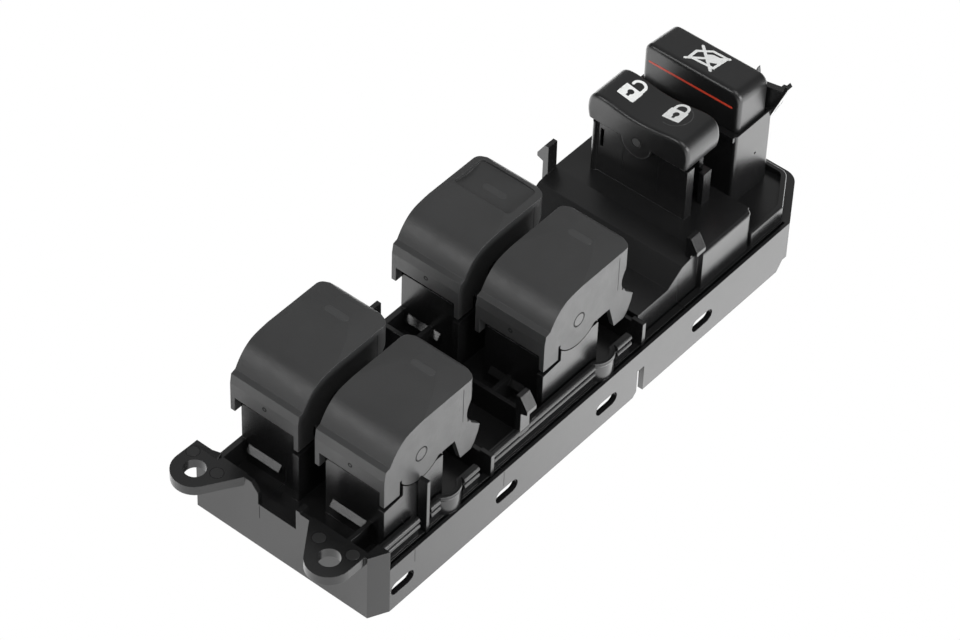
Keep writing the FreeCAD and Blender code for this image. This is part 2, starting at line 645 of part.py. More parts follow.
def rocker(mid_x, row, scoop=False):
    """Hollow rocker cap with pivot cheeks, a driving stem and a plunger tube."""
    half = cap_w / 2
    skin = cap_face(-half, 0, fascia_z).extrude(V(cap_w, 0, 0))
    crown_r = (half * half + crown * crown) / (2 * crown)
    arch = rod(crown_r, 60, 0, 0, 59.4 - crown_r, V(0, 1, 0))
    skin = skin.common(arch)
    low_back = box(-half - 1, half + 1, 20, 60, fascia_z - 1, 50.5)
    skin = skin.common(back_arc(0, 2.2).fuse(low_back))
    webs = cheek_web(-half, -half + cap_t) + cheek_web(half - cap_t, half)
    inner = cap_face(-half + cap_t, cap_t, fascia_z - 3).extrude(V(cap_w - 2 * cap_t, 0, 0))
    inner = inner.common(back_arc(cap_t, 0.9))
    cap = skin.multiFuse(webs).cut(inner)
    parts = [cap]
    if scoop:
        parts.append(box(-half + 1, half - 1, 30.6, 45.6, 55.2, 58.2).common(skin))
    stem = [(pivot_st - stem_t / 2, 58.2), (pivot_st - stem_t / 2, 16.0)]
    stem += [(pivot_st - 1.0, stem_end_z), (pivot_st + 1.0, stem_end_z)]
    stem += [(pivot_st + stem_t / 2, 16.0), (pivot_st + stem_t / 2, 58.2)]
    parts.append(side_plate(stem, -stem_half_w, stem_half_w).common(body_low()))
    parts.append(rod(stem_end_r, 2 * stem_half_w, -stem_half_w, pivot_st, stem_end_z, V(1, 0, 0)))
    parts.append(rod(tube_r, 28.0, saddle_off, pivot_st, 30.0))
    for y in (17.0, 31.0):
        parts.append(box(-half + 1, half - 1, y - 0.6, y + 0.6, 52.0, 57.2).common(skin))
    out = fuse(parts)
    out = out.cut(rod(tube_bore_r, 20.4, saddle_off, pivot_st, 29.6))
    side_slot = box(-half - 1, half + 1, leg_back, leg_back + 0.9, 20, 41.4)
    cheeks = fuse_all([box(-half - 1, -half + cap_t, 0, 60, 20, 60),
                       box(half - cap_t, half + 1, 0, 60, 20, 60)])
    out = out.cut(side_slot.common(cheeks))
    hole = rod(pin_r + pin_fit, cap_w + 2, -half - 1, pivot_st, pivot_z, V(1, 0, 0))
    out = out.cut(hole.common(cheeks))
    if scoop:
        well = box(-half + 2.2, half - 2.2, 32.4, 45.0, 56.8, 62)
        well = round_upright(well, 1.6, lambda p: True)
        ramp = rod(16.0, cap_w, -half, 38.9, 57.1 + 16.0, V(1, 0, 0))
        out = out.cut(well.common(ramp))
    out.translate(V(mid_x, row, 0))
    return out


def body_low():
    """The space under the crown of a rocker, where its stem and tube may reach."""
    return cap_face(-cap_w / 2, cap_t * 0.5, 8.0).extrude(V(cap_w, 0, 0))


def plunger(mid_x, row):
    """Spring plunger with a ball tip that rides in the curved seat."""
    x, y = mid_x + saddle_off, row + pivot_st
    tip_z = pivot_z - plunger_tip_r + plunger_r
    ball = Part.makeSphere(plunger_r, V(x, y, tip_z))
    spigot = rod(coil_r - wire_r - 0.2, 2.0, x, y, 33.0)
    return ball.fuse(rod(plunger_r, 33.0 - tip_z, x, y, tip_z)).fuse(spigot)


def coil(mid_x, row):
    """Compression spring between the plunger and the end of its tube."""
    x, y = mid_x + saddle_off, row + pivot_st
    helix = Part.makeHelix(2.2, 15.8, coil_r)
    helix.translate(V(0, 0, 33.5))
    section = Part.Wire([Part.makeCircle(wire_r, V(coil_r, 0, 33.5), V(0, 1, 0))])
    spring = Part.Wire(helix.Edges).makePipeShell([section], True, True)
    spring.translate(V(x, y, 0))
    return spring


def slider(mid_x, mid_y, along_y):
    """Contact slider on the board, pushed by the stem end in its open slot."""
    a, b = slider_half_w, slider_len / 2
    z1 = slider_z + slider_h
    out = box(-a, a, -b, b, slider_z + 0.6, z1)
    out = out.fuse(box(-a + 0.8, a - 0.8, -b + 1.2, -b + 3.0, slider_z, slider_z + 1))
    out = out.fuse(box(-a + 0.8, a - 0.8, b - 3.0, b - 1.2, slider_z, slider_z + 1))
    slot_w = stem_end_r + 0.06
    out = out.cut(box(-stem_half_w - 0.3, stem_half_w + 0.3, -slot_w, slot_w, slider_z + 0.5, 20))
    for y in (-b, b):
        out = out.cut(box(-1.4, 1.4, y - 1.0, y + 1.0, slider_z + 2.2, 20))
    if not along_y:
        out.rotate(V(0, 0, 0), V(0, 0, 1), 90)
    out.translate(V(mid_x, mid_y, 0))
    return out


def lock_profile(t, drop):
    """End view face of the lock rocker, drawn in by t, its foot lowered by drop."""
    half = lock_w / 2
    low = lock_pivot_z - 0.2
    left = [(half - 0.5, 0), (half, 2.6), (half - 0.1, 5.2), (half - 0.9, 7.6)]
    left += [(half - 2.7, 9.1), (half * 0.73, 9.5), (half * 0.51, 9.1), (half * 0.27, 8.4)]
    top = lock_top - low - 9.6
    pts = [(-x, low + z + top) for x, z in left] + [(0, low + 8.1 + top)]
    pts += [(x, low + z + top) for x, z in reversed(left)]
    pts[0] = (pts[0][0], low)
    pts[-1] = (pts[-1][0], low)
    row = inward(pts, t)
    curve = Part.BSplineCurve()
    curve.interpolate([V(x, 0, z) for x, z in row])
    a, b = V(row[0][0], 0, row[0][1]), V(row[-1][0], 0, row[-1][1])
    down = V(0, 0, -drop)
    if drop > 0:
        sides = [Part.makeLine(b, b + down), Part.makeLine(b + down, a + down)]
        sides.append(Part.makeLine(a + down, a))
    else:
        sides = [Part.makeLine(b, a)]
    return Part.Face(Part.Wire([curve.toShape()] + sides))


def lock_rocker():
    """Dished lock rocker that tips left and right over its tower."""
    wall_t = 1.5
    out = lock_profile(0, 0).extrude(V(0, lock_depth, 0))
    rim = [e for e in out.Edges if e.BoundBox.ZMax > lock_top - 2.0 and
           (e.BoundBox.YMax < 0.01 or e.BoundBox.YMin > lock_depth - 0.01)]
    out = out.makeFillet(1.3, rim)
    for y in (0, lock_depth - wall_t):
        out = out.fuse(rod(5.4, wall_t, 0, y, lock_pivot_z, V(0, 1, 0)))
    hollow = lock_profile(wall_t, 8).extrude(V(0, lock_depth - 2 * wall_t, 0))
    hollow.translate(V(0, wall_t, 0))
    out = out.cut(hollow)
    stem = [(-2.2, lock_top - 2.6), (-1.6, 16.0), (-0.9, stem_end_z), (0.9, stem_end_z)]
    stem += [(1.6, 16.0), (2.2, lock_top - 2.6)]
    mid = lock_depth / 2
    out = out.fuse(end_plate(stem, mid - stem_half_w, mid + stem_half_w))
    out = out.fuse(rod(stem_end_r, 2 * stem_half_w, 0, mid - stem_half_w, stem_end_z, V(0, 1, 0)))
    for y in (-1, lock_depth - wall_t):
        out = out.cut(rod(1.6 + pin_fit, wall_t + 1, 0, y, lock_pivot_z, V(0, 1, 0)))
    out.translate(V(lock_mid_x, lock_st, 0))
    return out.removeSplitter()


def window_lock_button():
    """Deep push button with rounded top corners and a stem to the switch below."""
    half = button_w / 2
    low = 33.0
    face = Part.Face(rounded_wire([(-half, low, 0), (half, low, 0), (half, button_top, 3.8),
                                   (-half, button_top, 3.2)]))
    face.translate(V(0, -button_slope, 0))
    out = face.extrude(V(0, button_slope, button_depth))
    out.rotate(V(0, 0, 0), V(1, 0, 0), 90)
    out.translate(V(0, button_depth, 0))
    rim = [e for e in out.Edges if e.BoundBox.ZMax > low + 1 and
           (e.BoundBox.YMax < 0.01 or e.BoundBox.YMin > button_depth - 0.01)]
    out = out.makeFillet(1.5, rim)
    out = out.cut(box(-half - 1, half + 1, -1, button_depth + 1, 0, low))
    t = 1.6
    roof = button_top - button_slope - 2.4
    hollow = box(-half + t, half - t, t, button_depth - t, low - 1, roof)
    out = out.cut(round_upright(hollow, 0.8, lambda p: True))
    mid = button_depth / 2
    out = out.fuse(box(-3.4, 3.4, mid - 2.2, mid + 2.2, 22.0, roof + 1))
    out = out.fuse(box(-0.6, 0.6, t - 0.5, button_depth - t + 0.5, 40, roof + 1))
    out = out.fuse(rod(1.6, 22.3 - switch_top - 0.05, 0, mid, switch_top + 0.05))
    out.translate(V(button_mid_x, button_st, 0))
    return out.removeSplitter()


switch_top = board_top + 0.55 + button_travel + 4.0


def push_switch():
    x, y = button_mid_x, button_st + button_depth / 2
    body = box(x - 4.5, x + 4.5, y - 4.0, y + 4.0, board_top, board_top + 4.0)
    body = body.fuse(rod(2.6, 0.6, x, y, board_top + 4.0))
    return body.cut(rod(1.75, 6, x, y, board_top + 0.4)).removeSplitter()


def switch_plunger():
    x, y = button_mid_x, button_st + button_depth / 2
    return rod(1.6, 4.0, x, y, switch_top - 4.0)


pin_rows = (lock_st - 5.4, lock_st + 0.6)
pin_pitch = 3.2
pin_side = 9


def pin_spots():
    return [((k - (pin_side - 1) / 2) * pin_pitch, y) for y in pin_rows for k in range(pin_side)]


def connector_pins():
    pins = [box(x - 0.32, x + 0.32, y - 0.32, y + 0.32, 1.6, board_top + 0.9)
            for x, y in pin_spots()]
    return Part.makeCompound(pins)


def connector_shell():
    y0, y1 = pin_rows[0] - 5.0, pin_rows[1] + 5.0
    half = 17.0
    out = box(-half, half, y0, y1, 0.5, board_z)
    out = round_upright(out, 1.0, lambda p: True)
    out = out.cut(box(-half + 1.4, half - 1.4, y0 + 1.4, y1 - 1.4, 0, board_z - 1.5))
    out = out.fuse(box(-1.0, 1.0, y1 - 2.6, y1 - 1.0, 0.9, board_z - 1))
    holes = [box(x - 0.4, x + 0.4, y - 0.4, y + 0.4, 0, 20) for x, y in pin_spots()]
    return out.cut(fuse_all(holes))


def circuit_board():
    h = body_w / 2
    out = slab(body_outline(h - board_half_w), board_z, board_top)
    cuts = [rod(boss_r + 0.4, 6, x, y, board_z - 2) for x, y in screw_spots]
    cuts += [box(x - 0.4, x + 0.4, y - 0.4, y + 0.4, 0, 20) for x, y in pin_spots()]
    return out.cut(fuse_all(cuts))


def board_lamps():
    """Small side lamps that light the caps, one beside each tower and two more."""
    spots = [(x, row + 40.0) for row in (0, row_pitch) for x in caps_x]
    spots += [(-9.0, lock_st + 19.6), (9.0, lock_st + 19.6)]
    lamps = []
    for x, y in spots:
        lamp = box(x - 1.6, x + 1.6, y - 1.4, y + 1.4, board_top, board_top + 1.1)
        lamps.append(lamp.fuse(rod(1.1, 0.5, x, y, board_top + 1.1)).removeSplitter())
    return Part.makeCompound(lamps)


def control_chip():
    x, y = 0.0, row_pitch + 54.6
    out = box(x - 5, x + 5, y - 5, y + 5, board_top + 0.1, board_top + 1.8)
    out = out.makeChamfer(0.25, [e for e in out.Edges if e.BoundBox.ZMin > board_top + 1.7])
    legs = []
    for k in range(8):
        s = (k - 3.5) * 1.1
        legs.append(box(x - 6.2, x + 6.2, y + s - 0.2, y + s + 0.2, board_top, board_top + 0.5))
        legs.append(box(x + s - 0.2, x + s + 0.2, y - 6.2, y + 6.2, board_top, board_top + 0.5))
    return out.multiFuse(legs).removeSplitter()


def bottom_cover():
    h = body_w / 2
    out = slab(body_outline(h - chamber_half_w - 2.2), cover_z, chamber_z)
    lip = slab(body_outline(h - chamber_half_w + chamber_wall + slide_fit), chamber_z - 0.2, 4.8)
    lip = lip.cut(slab(body_outline(h - chamber_half_w + chamber_wall + 1.4), 0, 10))
    out = out.fuse(lip)
    posts = []
    for x in (8.4 - chamber_half_w, chamber_half_w - 8.4):
        for y in (pivot_st + 6.0, row_pitch + 7.6, row_pitch + 37.6, lock_st + 17.6):
            posts.append(rod(2.0, board_z - chamber_z + 0.2, x, y, chamber_z - 0.2))
    out = out.multiFuse(posts)
    cuts = [rod(screw_r + 0.2, 10, x, y, 0) for x, y in screw_spots]
    cuts += [rod(3.1, 1.1, x, y, 0.5) for x, y in screw_spots]
    y0, y1 = pin_rows[0] - 5.0, pin_rows[1] + 5.0
    cuts.append(box(-17.2, 17.2, y0 - 0.2, y1 + 0.2, 0, 10))
    cuts += [rod(boss_r + 0.3, 8, x, y, chamber_z) for x, y in screw_spots]
    return out.cut(fuse_all(cuts)).removeSplitter()


def cover_screws():
    screws = []
    for x, y in screw_spots:
        head = rod(2.7, 0.85, x, y, 0.7)
        shank = rod(screw_r - 0.3, 8.0, x, y, 1.5)
        cross = box(x - 1.5, x + 1.5, y - 0.3, y + 0.3, 0, 1.1)
        cross = cross.fuse(box(x - 0.3, x + 0.3, y - 1.5, y + 1.5, 0, 1.1))
        screws.append(head.fuse(shank).cut(cross).removeSplitter())
    return Part.makeCompound(screws)


def save(name, shape):
    shape = shape.copy()
    shape.translate(V(0, shift_y, 0))
    shape.exportStep("parts/" + name + ".step")
    solids = len(shape.Solids)
    print(name, "solids", solids, "valid", shape.isValid(), "volume", round(shape.Volume))


os.makedirs("parts", exist_ok=True)
save("housing", housing())
save("bottom_cover", bottom_cover())
save("cover_screws", cover_screws())
save("circuit_board", circuit_board())
save("connector_shell", connector_shell())
save("connector_pins", connector_pins())
save("board_lamps", board_lamps())
save("control_chip", control_chip())
save("push_switch", push_switch())
save("switch_plunger", switch_plunger())
places = (("front_left", caps_x[0], 0), ("front_right", caps_x[1], 0),
          ("rear_left", caps_x[0], row_pitch), ("rear_right", caps_x[1], row_pitch))
for place, mid_x, row in places:
    save("rocker_" + place, rocker(mid_x, row, place == "rear_left"))
    save("slider_" + place, slider(mid_x, row + pivot_st, True))
    save("plunger_" + place, plunger(mid_x, row))
    save("spring_" + place, coil(mid_x, row))
save("lock_rocker", lock_rocker())
save("slider_lock", slider(lock_mid_x, lock_st + lock_depth / 2, False))
save("window_lock_button", window_lock_button())
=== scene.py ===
import bpy
import bmesh
import math
from mathutils import Matrix, Vector
from mathutils.bvhtree import BVHTree


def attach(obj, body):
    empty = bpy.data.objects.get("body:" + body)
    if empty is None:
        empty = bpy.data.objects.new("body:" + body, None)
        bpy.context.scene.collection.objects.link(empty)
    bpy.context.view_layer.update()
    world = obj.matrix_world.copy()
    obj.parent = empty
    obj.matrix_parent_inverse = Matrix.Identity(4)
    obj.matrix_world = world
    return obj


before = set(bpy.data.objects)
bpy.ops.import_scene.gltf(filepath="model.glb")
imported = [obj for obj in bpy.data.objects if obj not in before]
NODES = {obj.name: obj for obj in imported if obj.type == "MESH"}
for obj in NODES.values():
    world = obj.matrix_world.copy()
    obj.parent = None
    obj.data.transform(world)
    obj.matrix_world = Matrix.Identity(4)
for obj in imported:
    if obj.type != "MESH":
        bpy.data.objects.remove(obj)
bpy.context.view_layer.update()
MM = 0.001

# Places on the switch, in millimetres: columns and rows of the rockers, their pivots, markers and gates,
# the lock rocker's pivot, and the heights from which marks on the tops and the ears are laid

LEFT_X = -15.25
RIGHT_X = 15.65
ROW_PITCH = 67.4
ROCKERS = (("front_left", LEFT_X, 0.0), ("front_right", RIGHT_X, 0.0),
           ("rear_left", LEFT_X, ROW_PITCH), ("rear_right", RIGHT_X, ROW_PITCH))
PIVOT_Y = -71.3
PIVOT_Z = 45.5
CHEEK_X = 12.4
MARKER_Y = -56.8
GATE_Y = -86.5
GATE_Z = 44.6
GATE_SHIFT = 0.2
LOCK_PIVOT = (-0.6, 57.1, 52.4)
TOP_Z = 61.0
EAR_Z = 30.0

# How the marks are laid, in millimetres: start and reach of the ray that finds the surface, depth of a
# mark's root, height of a fine mark, and widths of the lines

RAY_START = 20.0
RAY_REACH = 50.0
ROOT = 0.03
FINE_LIFT = 0.012
SEAM_WIDTH = 0.22
PARTING_WIDTH = 0.16
ICON_WIDTH = 0.95

# Faces on which marks are laid: direction across, direction up, and the way the face looks

TOP = (Vector((1, 0, 0)), Vector((0, 1, 0)), Vector((0, 0, 1)))
NEAR = (Vector((1, 0, 0)), Vector((0, 0, 1)), Vector((0, -1, 0)))
SIDE = (Vector((0, 1, 0)), Vector((0, 0, 1)), Vector((1, 0, 0)))

# Scales of the noises in the materials, per metre

CLOUD_SCALE = 70.0
RUB_SCALE = 260.0
STREAK_SCALE = 900.0
STREAK_STRETCH = (1, 1, 12)
INK_SCALE = 1800.0
WEAVE_SCALE = 2600.0
TRACK_SCALE = 160.0

# Tones: dark streaks of a metal and thin spots of an ink, as a share of the full colour, and how far the
# streaks move a metal's roughness

STREAK_DARK = 0.72
STREAK_SHARP = 0.08
STREAK_DULL = 0.12
INK_THIN = 0.9

# Painted edge highlight: how far the edge has turned where the painted highlight starts and where it is
# full, and its tone

EDGE_START = 0.995
EDGE_FULL = 0.80
EDGE_HIGHLIGHT_GAIN = 1.9
EDGE_HIGHLIGHT_LIFT = 0.01

# Floor, in metres: its half size, its drop, where along y its glow starts to rise and where it is full.
# Then the glow that a gloss mirrors at both ends, the glow for all else, and the light of the room

FLOOR_HALF = 1.6
FLOOR_DROP = 0.0002
SWEEP_START = -0.10
SWEEP_END = 0.02
GLOW_NEAR = 0.98
GLOW_FAR = 2.3
GLOW_SOFT = 0.12
WORLD_LIGHT = 0.20

# Camera, as found from the vanishing points of the photograph

LENS = 148.998
SENSOR = 36.0
CAMERA_POSE = ((0.7659962, -0.4730684, 0.4352655, 0.487766),
               (0.6422720, 0.5346102, -0.5492528, -0.628348),
               (0.0271368, 0.7002844, 0.7133480, 0.832661),
               (0, 0, 0, 1))


# Parts of the materials


def link(tree, source, out, target, into):
    tree.links.new(source.outputs[out], target.inputs[into])


def new_material(name):
    mat = bpy.data.materials.new(name)
    mat.use_nodes = True
    tree = mat.node_tree
    shader = tree.nodes["Principled BSDF"]
    return mat, tree, shader


def noise(tree, coords, scale, detail, rough=0.5):
    """Noise that stays fixed to the solid."""
    node = tree.nodes.new("ShaderNodeTexNoise")
    node.inputs["Scale"].default_value = scale
    node.inputs["Detail"].default_value = detail
    node.inputs["Roughness"].default_value = rough
    link(tree, coords, "Object", node, "Vector")
    return node


def spread(tree, source, low, high, start=0.3, end=0.7):
    """Stretches the middle of a noise to a range of values."""
    node = tree.nodes.new("ShaderNodeMapRange")
    node.inputs["From Min"].default_value = start
    node.inputs["From Max"].default_value = end
    node.inputs["To Min"].default_value = low
    node.inputs["To Max"].default_value = high
    link(tree, source, "Fac", node, "Value")
    return node


def colour_mix(tree, low, high):
    """Goes from one colour to the other as its factor rises."""
    node = tree.nodes.new("ShaderNodeMix")
    node.data_type = "RGBA"
    node.inputs["A"].default_value = list(low) + [1]
    node.inputs["B"].default_value = list(high) + [1]
    return node


def relief(tree, source, strength, depth_mm):
    """Small bumps from a noise."""
    node = tree.nodes.new("ShaderNodeBump")
    node.inputs["Strength"].default_value = strength
    node.inputs["Distance"].default_value = depth_mm * MM
    link(tree, source, "Fac", node, "Height")
    return node


def painted_edge_highlight(tree, bevel, tone, colour, edge_highlight):
    """Lightens the tone where the softened normal leaves the true one, which is at an edge: a painted
    highlight along the edges, inner corners included.
    """
    light = [min(1.0, c * EDGE_HIGHLIGHT_GAIN + EDGE_HIGHLIGHT_LIFT) for c in colour]
    highlighted_tone = colour_mix(tree, colour, light)
    link(tree, tone, "Result", highlighted_tone, "A")
    geometry = tree.nodes.new("ShaderNodeNewGeometry")
    dot = tree.nodes.new("ShaderNodeVectorMath")
    dot.operation = "DOT_PRODUCT"
    link(tree, bevel, "Normal", dot, 0)
    link(tree, geometry, "Normal", dot, 1)
    edge = tree.nodes.new("ShaderNodeMapRange")
    edge.inputs["From Min"].default_value = EDGE_START
    edge.inputs["From Max"].default_value = EDGE_FULL
    edge.inputs["To Max"].default_value = edge_highlight
    link(tree, dot, "Value", edge, "Value")
    link(tree, edge, "Result", highlighted_tone, "Factor")
    return highlighted_tone


# Materials


def plastic(name, colour, rough, grain=0.12, grain_mm=0.16, edge_mm=0.22, vary=0.18, specular=0.5,
            scuff=0.04, edge_highlight=0.55):
    """Moulded plastic: fine etched grain, cloudy tone, softened edges with a painted highlight along them,
    and faint rub marks.
    """
    mat, tree, shader = new_material(name)
    coords = tree.nodes.new("ShaderNodeTexCoord")
    dark = [c * (1 - vary) for c in colour]
    light = [min(1.0, c * (1 + vary)) for c in colour]
    tone = colour_mix(tree, dark, light)
    cloud = noise(tree, coords, CLOUD_SCALE, detail=3.0)
    amount = spread(tree, cloud, low=0, high=1)
    link(tree, amount, "Result", tone, "Factor")

    rub = noise(tree, coords, RUB_SCALE, detail=6.0, rough=0.7)
    rub_amount = spread(tree, rub, low=rough - scuff, high=rough + scuff, start=0.35, end=0.65)
    link(tree, rub_amount, "Result", shader, "Roughness")

    bevel = tree.nodes.new("ShaderNodeBevel")
    bevel.samples = 4
    bevel.inputs["Radius"].default_value = edge_mm * MM
    # Painted highlight: the tone is lightened along every edge.
    highlighted_tone = painted_edge_highlight(tree, bevel, tone, colour, edge_highlight)
    link(tree, highlighted_tone, "Result", shader, "Base Color")

    fine = noise(tree, coords, 1 / (grain_mm * MM), detail=2.0, rough=0.6)
    bump = relief(tree, fine, strength=grain, depth_mm=0.06)
    link(tree, bevel, "Normal", bump, "Normal")
    link(tree, bump, "Normal", shader, "Normal")
    shader.inputs["Specular IOR Level"].default_value = specular
    return mat


def metal(name, colour, rough):
    """Plated or drawn metal with brushed streaks and dull patches."""
    mat, tree, shader = new_material(name)
    coords = tree.nodes.new("ShaderNodeTexCoord")
    mapping = tree.nodes.new("ShaderNodeMapping")
    mapping.inputs["Scale"].default_value = STREAK_STRETCH
    link(tree, coords, "Object", mapping, "Vector")
    streak = tree.nodes.new("ShaderNodeTexNoise")
    streak.inputs["Scale"].default_value = STREAK_SCALE
    streak.inputs["Detail"].default_value = 5.0
    link(tree, mapping, "Vector", streak, "Vector")

    tone = colour_mix(tree, [c * STREAK_DARK for c in colour], colour)
    link(tree, streak, "Fac", tone, "Factor")
    link(tree, tone, "Result", shader, "Base Color")
    dull = spread(tree, streak, low=rough - STREAK_SHARP, high=rough + STREAK_DULL)
    link(tree, dull, "Result", shader, "Roughness")
    bump = relief(tree, streak, strength=0.2, depth_mm=0.04)
    link(tree, bump, "Normal", shader, "Normal")
    shader.inputs["Metallic"].default_value = 1.0
    return mat


def board_material():
    """Green solder mask with a faint weave and brighter runs where the copper lies."""
    mat, tree, shader = new_material("solder_mask")
    coords = tree.nodes.new("ShaderNodeTexCoord")
    tracks = tree.nodes.new("ShaderNodeTexBrick")
    tracks.inputs["Scale"].default_value = TRACK_SCALE
    tracks.inputs["Mortar Size"].default_value = 0.03
    tracks.inputs["Color1"].default_value = (0.012, 0.085, 0.032, 1)
    tracks.inputs["Color2"].default_value = (0.016, 0.11, 0.04, 1)
    tracks.inputs["Mortar"].default_value = (0.03, 0.2, 0.075, 1)
    link(tree, coords, "Object", tracks, "Vector")
    link(tree, tracks, "Color", shader, "Base Color")
    weave = noise(tree, coords, WEAVE_SCALE, detail=2.0)
    bump = relief(tree, weave, strength=0.1, depth_mm=0.05)
    link(tree, bump, "Normal", shader, "Normal")
    shader.inputs["Roughness"].default_value = 0.35
    return mat


def ink(name, colour, rough=0.45, glow=0.0):
    """Pad-printed ink: slightly uneven cover with a soft surface. A glow, where given, is painted light that
    brightens the ink though it is no lamp.
    """
    mat, tree, shader = new_material(name)
    coords = tree.nodes.new("ShaderNodeTexCoord")
    cover = noise(tree, coords, INK_SCALE, detail=3.0)
    tone = colour_mix(tree, [c * INK_THIN for c in colour], colour)
    amount = spread(tree, cover, low=0, high=1)
    link(tree, amount, "Result", tone, "Factor")
    link(tree, tone, "Result", shader, "Base Color")
    bump = relief(tree, cover, strength=0.08, depth_mm=0.03)
    link(tree, bump, "Normal", shader, "Normal")
    shader.inputs["Roughness"].default_value = rough
    # Painted glow: the ink shines a little by itself, though it is no lamp.
    if glow:
        shader.inputs["Emission Color"].default_value = list(colour) + [1]
        shader.inputs["Emission Strength"].default_value = glow
    return mat


# Black plastics: glossy housing, lock rocker and button, satin caps, cover and connector, chips. Each
# lightens its edges with a painted highlight, the housing and the controls only weakly

HOUSING = plastic("housing_black", (0.0080, 0.0081, 0.0083), 0.25, grain=0.2, grain_mm=0.26, edge_mm=0.26,
                  vary=0.12, scuff=0.02, edge_highlight=0.1)
CONTROL = plastic("control_black", (0.0095, 0.0096, 0.0098), 0.31, grain=0.4, grain_mm=0.26, vary=0.08,
                  scuff=0.02, edge_highlight=0.25)
CAPS = plastic("cap_satin_black", (0.034, 0.0343, 0.0346), 0.42, grain=0.8, grain_mm=0.30, vary=0.08)
COVER = plastic("cover_black", (0.022, 0.022, 0.0225), 0.42, grain=0.2, grain_mm=0.3)
CHIP = plastic("chip_epoxy", (0.018, 0.018, 0.019), 0.55, grain=0.4, grain_mm=0.1)

# Pale plastics, metals and the board

NATURAL = plastic("natural_acetal", (0.70, 0.69, 0.64), 0.40, grain=0.08, vary=0.05)
LAMP = plastic("lamp_clear", (0.80, 0.78, 0.62), 0.22, grain=0.05, vary=0.06)
STEEL = metal("zinc_steel", (0.62, 0.62, 0.60), 0.30)
WIRE = metal("spring_wire", (0.55, 0.55, 0.56), 0.26)
TIN = metal("tinned_brass", (0.72, 0.66, 0.48), 0.28)
BOARD = board_material()

# Inks and moulding marks

WHITE = ink("icon_white", (0.86, 0.87, 0.86))
# The red line carries a faint painted glow, though it is no lamp.
RED = ink("marker_red", (0.55, 0.050, 0.024), rough=0.4, glow=0.08)
# Pale tone: the real colour of the cap markers, and a painted highlight where it lines rims on the lock
# rocker and the housing.
MARKER_AND_HIGHLIGHT = plastic("cap_marker_and_painted_highlight", (0.044, 0.0445, 0.045), 0.50, grain=0.15, grain_mm=0.2, vary=0.05)
PAD = plastic("ejector_mark", (0.015, 0.0152, 0.0154), 0.42, grain=0.25, grain_mm=0.2, vary=0.1)
LINE = plastic("parting_line", (0.009, 0.009, 0.0095), 0.6, grain=0.1, vary=0.05, specular=0.05)

FINISH = {"housing": HOUSING, "bottom_cover": COVER, "cover_screws": STEEL, "circuit_board": BOARD,
          "connector_shell": COVER, "connector_pins": TIN, "board_lamps": LAMP, "control_chip": CHIP,
          "push_switch": CHIP, "switch_plunger": NATURAL, "lock_rocker": CONTROL,
          "slider_lock": NATURAL, "window_lock_button": CONTROL}
for place, _, _ in ROCKERS:
    FINISH["rocker_" + place] = CAPS
    FINISH["slider_" + place] = NATURAL
    FINISH["plunger_" + place] = NATURAL
    FINISH["spring_" + place] = WIRE
for node, obj in NODES.items():
    obj.data.materials.clear()
    obj.data.materials.append(FINISH[node])


# Outlines of marks, as loops of points in millimetres


def ellipse(cx, cy, rx, ry, count=40, start=0.0, end=360.0):
    """Points round an ellipse, or along it from one angle to another."""
    full = abs(end - start) >= 359.9
    points = []
    for i in range(count if full else count + 1):
        angle = math.radians(start + (end - start) * i / count)
        points.append((cx + rx * math.cos(angle), cy + ry * math.sin(angle)))
    return points


def circle(radius, count=40, start=0.0, end=360.0):
    return ellipse(0, 0, radius, radius, count, start, end)


def ring(outer, inner):
    """Loops of a flat ring."""
    return [circle(outer), circle(inner)]


def open_ring(outer, inner, start, end, count=40):
    """Loop of a part of a flat ring."""
    return [circle(outer, count, start, end) + circle(inner, count, end, start)]


def rounded_box(x0, x1, y0, y1, r, count=6):
    """Box with rounded corners."""
    corners = ((x1 - r, y1 - r, 0), (x0 + r, y1 - r, 90), (x0 + r, y0 + r, 180), (x1 - r, y0 + r, 270))
    loop = []
    for cx, cy, first in corners:
        for i in range(count + 1):
            angle = math.radians(first + 90 * i / count)
            loop.append((cx + r * math.cos(angle), cy + r * math.sin(angle)))
    return loop


def round_end(p, q, half):
    """Points round the end of a line at p, which q lies beyond."""
    heading = math.atan2(q[1] - p[1], q[0] - p[0])
    turns = [heading + math.radians(turn) for turn in (60, 30, 0, -30, -60)]
    return [(p[0] + half * math.cos(turn), p[1] + half * math.sin(turn)) for turn in turns]


def beyond(a, b):
    """Point as far past b as a lies before it."""
    return (2 * b[0] - a[0], 2 * b[1] - a[1])


def stroke(points, width):
    """Outline of a line of constant width through the points, with round ends."""
    half = width / 2
    left = []
    right = []
    for i, (x, y) in enumerate(points):
        a = points[max(i - 1, 0)]
        b = points[min(i + 1, len(points) - 1)]
        length = math.hypot(b[0] - a[0], b[1] - a[1])
        nx = -(b[1] - a[1]) / length * half
        ny = (b[0] - a[0]) / length * half
        left.append((x + nx, y + ny))
        right.append((x - nx, y - ny))
    end = round_end(points[-1], beyond(points[-2], points[-1]), half)
    start = round_end(points[0], beyond(points[1], points[0]), half)
    return left + end + right[::-1] + start


# Laying a mark on a solid

TREES = {}


def skin(node):
    """Search tree of a node's faces, in the row frame."""
    if node not in TREES:
        obj = NODES[node]
        bm = bmesh.new()
        bm.from_mesh(obj.data)
        bm.transform(obj.matrix_world)
        TREES[node] = BVHTree.FromBMesh(bm)
        bm.free()
    return TREES[node]


